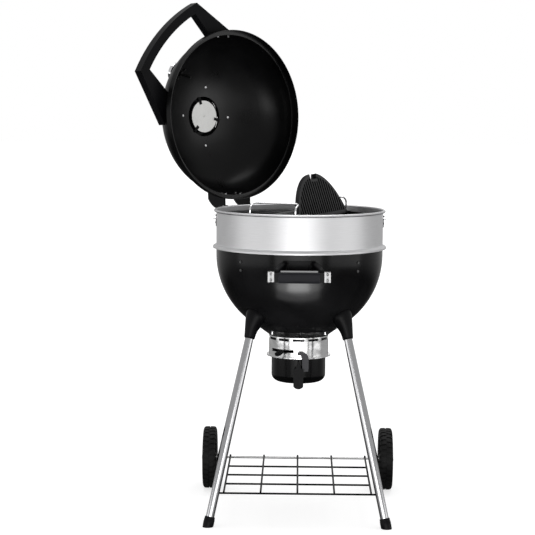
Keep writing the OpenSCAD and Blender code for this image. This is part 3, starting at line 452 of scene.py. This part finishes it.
def leg_socket(node, azimuth, reach, lean):
    """A black moulding that lofts from a round mouth on the leg to an oval seat on the bowl."""
    sides, steps = 40, 16
    mouth_r, neck_r, seat_r = 15.2, 17.8, 35.5
    bore_depth, belly = 60, 3.5
    seat = math.radians(46)
    middle = Vector((0, 0, bowl_z))
    low = Vector((reach - socket_z * math.tan(lean), 0, socket_z))
    up = Vector((-math.sin(lean), 0, math.cos(lean)))
    out = Vector((math.sin(seat), 0, -math.cos(seat)))
    high = middle + out * (bowl_r + 3)
    bm = bmesh.new()
    rings = []
    # place along the loft from 0 to 1, radius (none where the loft sets it), and rise along the leg
    mouth = [(0.0, mouth_r, 0.0), (0.0, 16.6, 0.0), (0.02, 17.6, 1.4)]
    for t, r, rise in mouth + [(i / steps, None, 0.0) for i in range(1, steps + 1)]:
        ease = t * t * (3 - 2 * t)
        if r is None:
            r = neck_r + (seat_r - neck_r) * (0.35 * t + 0.65 * ease * t)
        centre = low.lerp(high, t) + up * rise + Vector((1, 0, 0)) * belly * math.sin(math.pi * t)
        normal = up.lerp(-out, 0.15 * t + 0.85 * ease).normalized()
        side = Vector((0, 1, 0))
        across = side.cross(normal).normalized()
        ring = []
        for i in range(sides):
            a = 2 * math.pi * i / sides
            ring.append(centre + across * (r * math.cos(a)) + side * (r * math.sin(a)))
        rings.append(ring)
    # the seat's lip stands off the bowl, and a last ring runs down onto it
    rings.append([middle + (p - middle).normalized() * (bowl_r + 0.15) for p in rings[-1]])
    rings[-2] = [middle + (p - middle).normalized() * (bowl_r + 2.6) for p in rings[-2]]
    made = [[bm.verts.new(p) for p in ring] for ring in rings]
    for a, b in zip(made, made[1:]):
        for i in range(sides):
            j = (i + 1) % sides
            bm.faces.new((a[i], a[j], b[j], b[i]))
    narrow = tube_bore_r / mouth_r
    inner = [bm.verts.new(low + up * bore_depth + (p - low) * narrow) for p in rings[0]]
    lip = [bm.verts.new(low + (p - low) * narrow) for p in rings[0]]
    for i in range(sides):
        j = (i + 1) % sides
        bm.faces.new((made[0][j], made[0][i], lip[i], lip[j]))
        bm.faces.new((lip[j], lip[i], inner[i], inner[j]))
    stands_for(finish_mesh(bm, node + "_moulding", plastic, 50, turned("Z", azimuth)), node)


def foot_cap(node, azimuth, reach, lean):
    """A rubber-black cap with a rounded foot, a step and a rounded mouth, cut flat by the floor."""
    profile = [(0, -12), (17, -12), (17.6, 4), (18, 8), (18, 24), (17.6, 25), (17.0, 25.6), (17.0, 31.5),
               (16.4, 33.3), (15.2, 34), (tube_bore_r, 34), (tube_bore_r, 12), (0, 12)]
    bm = lathe(bmesh.new(), profile, 64, closed=False)
    tilt = turned("Y", -math.degrees(lean))
    bm.transform(turned("Z", azimuth) @ Matrix.Translation((reach, 0, 0)) @ tilt)
    geom = bm.verts[:] + bm.edges[:] + bm.faces[:]
    cut = bmesh.ops.bisect_plane(bm, geom=geom, plane_co=(0, 0, 0), plane_no=(0, 0, -1), clear_outer=True)
    rim = [e for e in cut["geom_cut"] if isinstance(e, bmesh.types.BMEdge)]
    bmesh.ops.holes_fill(bm, edges=rim, sides=0)
    stands_for(finish_mesh(bm, node + "_moulding", plastic), node)


for place, azimuth, reach, lean in (
        ("front_left", 225, front_reach, front_lean), ("front_right", 315, front_reach, front_lean),
        ("back_left", 135, back_reach, back_lean), ("back_right", 45, back_reach, back_lean)):
    leg_socket("leg_socket_" + place, azimuth, reach, lean)
foot_cap("foot_cap_left", 225, front_reach, front_lean)
foot_cap("foot_cap_right", 315, front_reach, front_lean)


# ---------------------------------------------------------------- wheels
wheel_inner = 293.5


def wheel_frame(side):
    """A frame on the axle, whose Z axis points out to this side."""
    return Matrix.Translation((0, axle_y, wheel_r)) @ turned("Y", 90 * side)


def tyre(side, name):
    """A tyre with two rows of staggered, slanting blocks that run on down its shoulders."""
    pitches, groove, slope = 34, 3.2, 0.010
    # place within a pitch, and 1 where the surface is down in the gap between two blocks
    phases = ((0.0, 1), (0.03, 0), (0.34, 0), (0.65, 0), (0.68, 1))
    half = 23.25
    floor_r = wheel_r - groove
    # distance across, radius, and row: 0 outside the tread, 1 and 2 the rows of blocks, 3 the groove between
    columns = [(3, 86, 0), (2, 92, 0), (0.4, 98, 0), (0, 102, 0),
               (0.6, 103.4, 1), (2.6, 107.4, 1), (5.5, 109.8, 1), (9, 110.8, 1), (15, wheel_r, 1),
               (21.4, wheel_r, 1),
               (21.7, floor_r, 3), (24.8, floor_r, 3),
               (25.1, wheel_r, 2), (31.5, wheel_r, 2), (37.5, 110.8, 2), (41, 109.8, 2), (43.9, 107.4, 2),
               (45.9, 103.4, 2), (46.5, 102, 0), (46.1, 98, 0), (44.5, 92, 0), (42.5, 86, 0)]
    bm = bmesh.new()
    grid = []
    for x, r, row in columns:
        stagger = 0.5 if x > half else 0.0
        slant = slope * abs(x - half)
        ring = []
        for k in range(pitches):
            for phase, low in phases:
                angle = 2 * math.pi * (k + phase + stagger + slant) / pitches
                at = r - groove if low and row in (1, 2) else r
                ring.append(bm.verts.new((at * math.cos(angle), at * math.sin(angle), wheel_inner + x)))
        grid.append(ring)
    count = pitches * len(phases)
    # the second row is staggered, so the faces that join the rows step back by this many vertices
    shift = len(phases) // 2
    for (a, b), (left, right) in zip(zip(grid, grid[1:]), zip(columns, columns[1:])):
        back = shift if left[0] < half < right[0] else 0
        for i in range(count):
            j = (i + 1) % count
            bm.faces.new((a[i], a[j], b[(j - back) % count], b[(i - back) % count]))
    for i in range(count):
        j = (i + 1) % count
        bm.faces.new((grid[0][j], grid[0][i], grid[-1][(i - shift) % count], grid[-1][(j - shift) % count]))
    stands_for(finish_mesh(bm, name + "_treaded", rubber, 28, wheel_frame(side)), name)


def wheel(side, name):
    """A moulded wheel with a stepped rim, six ribbed spokes and a domed hub."""
    spokes = 6
    rim = [(86, 3), (86, 42.5), (84, 43.6), (80.5, 43.6), (78.5, 42.0), (77.5, 30), (77.5, 14), (79, 4),
           (81, 3)]
    hub = [(4.05, 1), (15, 1), (16, 2), (17.5, 14), (17.5, 31), (16.5, 38), (14.5, 40.5), (10, 42),
           (4.05, 42.4)]
    bm = bmesh.new()
    lathe(bm, rim, 96)
    lathe(bm, hub, 64)
    for k in range(spokes):
        spoke = bmesh.new()
        prism(spoke, [(15, -9), (34, -6.5), (62, -6.5), (79, -12), (79, 12), (62, 6.5), (34, 6.5), (15, 9)],
              15, 31)
        soften(spoke, 2, 2)
        spoke.transform(turned("Z", 360 / spokes * k))
        join_into(bm, spoke)
        rib = bmesh.new()
        prism(rib, [(16, -1.6), (78, -1.6), (78, 1.6), (16, 1.6)], 29, 35)
        soften(rib, 0.7, 2)
        rib.transform(turned("Z", 360 / spokes * k))
        join_into(bm, rib)
    bm.transform(Matrix.Translation((0, 0, wheel_inner)))
    stands_for(finish_mesh(bm, name + "_spoked", wheel_plastic, 34, wheel_frame(side)), name)


for side, hand in ((-1, "left"), (1, "right")):
    tyre(side, "tyre_" + hand)
    wheel(side, "wheel_" + hand)


# ---------------------------------------------------------------- handles
def rounded(points, radius, steps=6):
    """A path with each inner corner replaced by a curve."""
    points = [Vector(p) for p in points]
    out = [points[0]]
    for before, here, after in zip(points, points[1:], points[2:]):
        a, b = (before - here), (after - here)
        cut = min(radius, a.length * 0.45, b.length * 0.45)
        start, end = here + a.normalized() * cut, here + b.normalized() * cut
        for i in range(steps + 1):
            t = i / steps
            out.append(start * (1 - t) ** 2 + here * 2 * t * (1 - t) + end * t ** 2)
    return out + [points[-1]]


def sweep(bm, path, section, side):
    """Carry a closed section of (across, up) along a path; side is its first axis, kept square to it."""
    rings = []
    for i, p in enumerate(path):
        along = (path[min(i + 1, len(path) - 1)] - path[max(i - 1, 0)]).normalized()
        across = (side - along * side.dot(along)).normalized()
        up = along.cross(across)
        side = across
        rings.append([bm.verts.new(p + across * x + up * y) for x, y in section])
    for a, b in zip(rings, rings[1:]):
        for i in range(len(section)):
            j = (i + 1) % len(section)
            bm.faces.new((a[i], a[j], b[j], b[i]))
    bm.faces.new(list(reversed(rings[0])))
    bm.faces.new(rings[-1])
    return bm


def round_section(r, sides=16):
    angles = [2 * math.pi * i / sides for i in range(sides)]
    return [(r * math.cos(a), r * math.sin(a)) for a in angles]


def box_section(width, height, corner, steps=4):
    w, h = width / 2 - corner, height / 2 - corner
    return (arc(w, h, corner, 0, 90, steps) + arc(-w, h, corner, 90, 180, steps)
            + arc(-w, -h, corner, 180, 270, steps) + arc(w, -h, corner, 270, 360, steps))


def front_handle():
    """The grip with its polished ridge, the two straps to the shield, and the end caps with their screws."""
    grip_y, grip_z, half = -352, 834.5, 66
    strap_x, cap_x = 73.4, half + 24.9
    cap_y, cap_z = grip_y + 2, grip_z + 3
    stations = (-half, -half + 3, half - 3, half)
    bm = sweep(bmesh.new(), [Vector((x, grip_y, grip_z)) for x in stations], box_section(27, 36, 9, 6),
               Vector((0, 1, 0)))
    soften(bm, 1.2, 2, 60)
    ridge = bmesh.new()
    prism(ridge, [(-half + 6, -6), (half - 6, -6), (half - 6, 6), (-half + 6, 6)], 0, 7)
    soften(ridge, 3.2, 5)
    ridge.transform(Matrix.Translation((0, grip_y + 1, grip_z + 16)))
    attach(finish_mesh(ridge, "front_handle_ridge", gloss_plastic), body_of["front_handle_grip"])
    stands_for(finish_mesh(bm, "front_handle_bar", grip_plastic), "front_handle_grip")

    bm = bmesh.new()
    for side in (-1, 1):
        path = rounded([(side * strap_x, grip_y + 1, 835), (side * strap_x, grip_y + 2, 852),
                        (side * 52, -306, 868), (side * 48, -281, 866)], 14)
        sweep(bm, path, box_section(16, 26, 5, 3), Vector((1, 0, 0)))
        foot = bmesh.new()
        prism(foot, [(-14, -12), (14, -12), (14, 12), (-14, 12)], 0, 5)
        soften(foot, 2, 2)
        seat = Matrix.Translation((side * 47, -280.5, 862))
        foot.transform(seat @ turned("Z", side * 9.6) @ turned("X", 90))
        join_into(bm, foot)
        block(bm, (side * strap_x, grip_y, grip_z + 1), (14.4, 26, 31))
    stands_for(finish_mesh(bm, "front_handle_straps", plastic), "front_handle_arms")

    bm = bmesh.new()
    for side in (-1, 1):
        cap = bmesh.new()
        prism(cap, [(-10, 15), (-10, -15), (-3, -15), (-3, -7), (3, -7), (3, -15), (10, -15), (10, 15)],
              -16.5, 16.5)
        soften(cap, 1.6, 2)
        cap.transform(Matrix.Translation((side * cap_x, cap_y, cap_z)))
        join_into(bm, cap)
        for z in (-9.5, 9.5):
            head = lathe(bmesh.new(), [(0, 0), (4.2, 0), (4.2, 1.0), (3.2, 2.2), (1.2, 2.7), (0, 2.7)], 32,
                         closed=False)
            head.transform(Matrix.Translation((side * cap_x, grip_y - 12.6, cap_z + z)) @ turned("X", 90))
            join_into(bm, head)
    stands_for(finish_mesh(bm, "front_handle_end_caps", cap_steel), "front_handle_caps")


def grate_lift_handles():
    """Two wire loops that stand up from the grate's rim and lean in at the top."""
    grate_azimuth = -21.2
    half, foot_y, top_y = 80, -245, -217
    foot_z, bend_z, top_z = 1000, 1050, 1063.5
    bm = bmesh.new()
    for turn in (0, 180):
        loop = bmesh.new()
        path = rounded([(-half, foot_y, foot_z), (-half, foot_y, bend_z), (-half, top_y, top_z),
                        (half, top_y, top_z), (half, foot_y, bend_z), (half, foot_y, foot_z)], 10)
        sweep(loop, path, round_section(3.0), Vector((1, 0, 0)))
        loop.transform(turned("Z", turn + grate_azimuth))
        join_into(bm, loop)
    stands_for(finish_mesh(bm, "grate_lift_wires", chrome, 50), "grate_lift_handles")


def ash_pan_handle():
    """The hook up to the collar, and the grip below it with the seat that holds it to the pan."""
    plane_y = -112
    grip_half, grip_r, grip_z = 16.8, 20, 452
    hook = bmesh.new()
    outline = ([(-4, 548.5), (-3, 552), (1, 555.6)] + arc(12.5, 534.5, 21.5, 90, 0, 12)
               + [(34, 491), (13, 491), (12.5, 534), (11, 541), (6, 546.6), (0, 546.2)])
    prism(hook, outline, 0, 6)
    soften(hook, 1.8, 3)
    hook.transform(Matrix.Translation((0, plane_y, 0)) @ turned("X", 90))
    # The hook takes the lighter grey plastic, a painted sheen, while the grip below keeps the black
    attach(finish_mesh(hook, "ash_pan_hook", sheen_painted_strap_plastic), body_of["ash_pan_handle"])
    grip = bmesh.new()
    across = (grip_half, 13, 8, 3, -3, -8, -13, -grip_half)
    bottom = [(x, grip_z - math.sqrt(grip_r ** 2 - x * x)) for x in across]
    top = [(-grip_half, 500), (-9, 502), (-1.6, 526), (1.6, 526), (9, 502), (grip_half, 500)]
    prism(grip, top + bottom, 0, 15)
    soften(grip, 2.6, 3, 25)
    grip.transform(Matrix.Translation((0, plane_y, 0)) @ turned("X", 90))
    seat = bmesh.new()
    prism(seat, [(-12, plane_y - 1), (12, plane_y - 1), (12, -91.8), (-12, -91.8)], 462, 492)
    soften(seat, 1.2, 2)
    join_into(grip, seat)
    stands_for(finish_mesh(grip, "ash_pan_grip", plastic), "ash_pan_handle")


def sweeper_lever():
    """A hub on the sweeper's shaft, a flat bar and a tilted, rounded paddle."""
    lever_azimuth, lever_z = -123, 556
    bm = lathe(bmesh.new(), [(5.02, -3), (11.4, -3), (12, -2.4), (12, 2.4), (11.4, 3), (5.02, 3)], 64)
    bar = bmesh.new()
    prism(bar, [(6, -4), (115, -4), (115, 4), (6, 4)], -2, 2)
    soften(bar, 0.8, 2)
    join_into(bm, bar)
    paddle = bmesh.new()
    prism(paddle, [(0, -12.6)] + arc(16, 0, 12.8, -90, 90, 14) + [(0, 12.6), (-6, 4), (-6, -4)], -2.2, 2.2)
    soften(paddle, 1.2, 3)
    paddle.transform(Matrix.Translation((109.5, 0, 0)) @ turned("Y", 24))
    join_into(bm, paddle)
    bm.transform(turned("Z", lever_azimuth) @ Matrix.Translation((0, 0, lever_z)))
    stands_for(finish_mesh(bm, "sweeper_paddle", plastic), "sweeper_lever")


front_handle()
grate_lift_handles()
ash_pan_handle()
sweeper_lever()


# ---------------------------------------------------------------- thermometer scale
# The thermometer's frame: on the front of the crown, with its Z axis out of the dome
gauge_angle = 26.6
gauge_turn = (lid_turn @ turned("Z", -90) @ Matrix.Translation((0, 0, crown_z)) @ turned("Y", gauge_angle)
              @ Matrix.Translation((0, 0, crown_r)) @ turned("Z", 90))


def gauge_scale():
    """Ticks, a ring and the numbers 0 to 350, printed on the dial."""
    ticks, numbers = 36, 8
    start, span = 225, 270
    low, high = 18.02, 18.3
    tick_end, number_r = 26.0, 16.2
    bm = bmesh.new()
    for i in range(ticks):
        tick_start, half = (21.0, 0.45) if i % 5 == 0 else (23.2, 0.22)
        tick = bmesh.new()
        outline = [(tick_start, -half), (tick_end, -half), (tick_end, half), (tick_start, half)]
        prism(tick, outline, low, high)
        tick.transform(turned("Z", start - span * i / (ticks - 1)))
        join_into(bm, tick)
    lathe(bm, [(26.6, low), (27.1, low), (27.1, high), (26.6, high)], 96)
    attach(finish_mesh(bm, "thermometer_ticks", dial_ink, turn=gauge_turn), "lid")
    for i in range(numbers):
        angle = math.radians(start - span * i / (numbers - 1))
        text = bpy.data.curves.new("thermometer_number_%d" % i, "FONT")
        text.body = str(50 * i)
        text.size = 4.6
        text.align_x, text.align_y = "CENTER", "CENTER"
        text.extrude = 0.12
        holder = bpy.data.objects.new(text.name, text)
        scene.collection.objects.link(holder)
        bpy.context.view_layer.update()
        mesh = bpy.data.meshes.new_from_object(holder)
        bpy.data.objects.remove(holder)
        place = Matrix.Translation((number_r * math.cos(angle), number_r * math.sin(angle), 18.16))
        mesh.transform(Matrix.Scale(mm, 4) @ gauge_turn @ place)
        mesh.materials.clear()
        mesh.materials.append(dial_ink)
        number = bpy.data.objects.new("thermometer_number_%d" % i, mesh)
        scene.collection.objects.link(number)
        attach(number, "lid")


gauge_scale()


# ---------------------------------------------------------------- stage, lights and camera
def stage_floor():
    """A matt floor that turns to plain white away from the grill."""
    size = 40.0
    white_from, white_to, glow = 0.70, 1.0, 4.5
    mesh = bpy.data.meshes.new("studio_floor")
    corners = [(-size, -size, 0), (size, -size, 0), (size, size, 0), (-size, size, 0)]
    mesh.from_pydata(corners, [], [(0, 1, 2, 3)])
    floor = bpy.data.objects.new("studio_floor", mesh)
    scene.collection.objects.link(floor)
    m, tree, shader = node_tree("studio_floor_white")
    p = object_coords(tree)
    link(tree, mix_color(tree, noise(tree, p, 2.0), (0.50, 0.50, 0.50), (0.53, 0.53, 0.53)),
         shader.inputs["Base Color"])
    shader.inputs["Roughness"].default_value = 0.9
    shader.inputs["Specular IOR Level"].default_value = 0.0
    shader.inputs["Emission Color"].default_value = (1, 1, 1, 1)
    reach = add(tree, "ShaderNodeVectorMath", operation="LENGTH")
    link(tree, p, reach.inputs[0])
    fade = remap(tree, reach.outputs["Value"], white_from, white_to, 1.0, glow)
    link(tree, fade, shader.inputs["Emission Strength"])
    mesh.materials.append(m)
    floor.visible_glossy = False


def area_light(name, location, target, width, height, power):
    data = bpy.data.lights.new(name, "AREA")
    data.shape = "RECTANGLE"
    data.size, data.size_y = width, height
    data.energy = power
    lamp = bpy.data.objects.new(name, data)
    scene.collection.objects.link(lamp)
    lamp.location = location
    lamp.rotation_euler = (Vector(target) - Vector(location)).to_track_quat("-Z", "Y").to_euler()
    lamp.visible_camera = False
    return lamp


def studio_world():
    """White to the camera; round the object an even grey that fades downward, with a bright line behind."""
    world = bpy.data.worlds.new("studio")
    scene.world = world
    world.use_nodes = True
    tree = world.node_tree
    tree.nodes.clear()
    out = tree.nodes.new("ShaderNodeOutputWorld")
    seen = tree.nodes.new("ShaderNodeBackground")
    seen.inputs["Color"].default_value = (1, 1, 1, 1)
    lit = tree.nodes.new("ShaderNodeBackground")
    split = tree.nodes.new("ShaderNodeSeparateXYZ")
    link(tree, tree.nodes.new("ShaderNodeTexCoord").outputs["Generated"], split.inputs[0])
    front = tree.nodes.new("ShaderNodeMath")
    front.operation = "MULTIPLY"
    front.inputs[1].default_value = -1.0
    link(tree, split.outputs["Y"], front.inputs[0])
    around = tree.nodes.new("ShaderNodeMath")
    around.operation = "ARCTAN2"
    link(tree, split.outputs["X"], around.inputs[0])
    link(tree, front.outputs[0], around.inputs[1])
    place = remap(tree, around.outputs[0], 0.0, 1.0, -math.pi, math.pi)
    ramp = tree.nodes.new("ShaderNodeValToRGB")
    link(tree, place, ramp.inputs[0])
    stops = ramp.color_ramp.elements
    stops[0].color = (world_level, world_level, world_level, 1)
    stops.new(1 - world_line).color = (world_level, world_level, world_level, 1)
    height = remap(tree, split.outputs["Z"], 0.0, world_strength, world_dark_z, world_light_z)
    height.node.interpolation_type = "SMOOTHSTEP"
    lift = tree.nodes.new("ShaderNodeMath")
    lift.operation = "ADD"
    lift.inputs[1].default_value = world_lift
    link(tree, height, lift.inputs[0])
    link(tree, ramp.outputs[0], lit.inputs["Color"])
    link(tree, lift.outputs[0], lit.inputs["Strength"])
    path = tree.nodes.new("ShaderNodeLightPath")
    mix = tree.nodes.new("ShaderNodeMixShader")
    link(tree, path.outputs["Is Camera Ray"], mix.inputs[0])
    link(tree, lit.outputs[0], mix.inputs[1])
    link(tree, seen.outputs[0], mix.inputs[2])
    link(tree, mix.outputs[0], out.inputs["Surface"])


def studio_camera():
    """The photo's camera, as fitted to the ring, lid, legs, wheels and shelf."""
    data = bpy.data.cameras.new("studio_camera")
    data.sensor_width = 36.0
    data.lens = 115.70
    data.clip_end = 100.0
    cam = bpy.data.objects.new("studio_camera", data)
    scene.collection.objects.link(cam)
    pitch, yaw, roll = math.radians(-5.8905), math.radians(1.0219), math.radians(0.3804)
    forward = Vector((-math.sin(yaw) * math.cos(pitch), math.cos(yaw) * math.cos(pitch), math.sin(pitch)))
    right = Vector((math.cos(yaw), math.sin(yaw), 0))
    up = right.cross(forward)
    right, up = (right * math.cos(roll) + up * math.sin(roll), up * math.cos(roll) - right * math.sin(roll))
    turn = Matrix((right, up, -forward)).transposed().to_4x4()
    cam.matrix_world = Matrix.Translation((-0.00424, -5.8443, 1.4338)) @ turn
    scene.camera = cam


# The studio round the object: its grey, the part of the circle straight behind where the grey rises to white,
# the strength it gains high up over the one low down, and the heights of direction between which it fades
world_level = 0.20
world_line = 1 / 256
world_strength = 2.6
world_lift = 0.12
world_dark_z = -0.36
world_light_z = -0.04

stage_floor()
studio_world()
studio_camera()
area_light("overhead", (0, 0.6, 4.2), (0, 0, 0), 3.0, 2.0, 60)
area_light("front_low", (-0.1, -4.6, 0.35), (0, 0, 0.7), 1.8, 1.9, 16)
area_light("front_wide", (-0.1, -4.7, 0.4), (0, 0, 0.8), 5.6, 1.5, 62)
area_light("side_left", (-4.3, -2.0, 0.5), (0, 0, 0.9), 4.4, 1.2, 22)
area_light("side_right", (4.3, -2.0, 0.5), (0, 0, 0.9), 4.4, 1.2, 24)

# Cards that light one object only: three below for the bowl's highlights, and one beside the lid's shell
card_targets = bpy.data.collections.new("low_card_targets")
card_targets.objects.link(nodes["bowl"])
for name, y, width, depth, power in (
        ("low_card_wide", -1.35, 1.6, 0.8, 20), ("low_card_narrow", -1.40, 0.7, 0.8, 26),
        ("low_card_near", -0.85, 1.0, 0.5, 4.5)):
    card = area_light(name, (-0.02, y, 0.10), (0, -0.2, 0.85), width, depth, power)
    card.light_linking.receiver_collection = card_targets
lid_targets = bpy.data.collections.new("lid_card_targets")
lid_targets.objects.link(nodes["lid_shell"])
lid_card = area_light("lid_card", (3.4, -0.3, 1.4), (-0.25, 0.28, 1.4), 2.4, 2.2, 44)
lid_card.light_linking.receiver_collection = lid_targets
scene.view_settings.view_transform = "Standard"
scene.view_settings.look = "None"
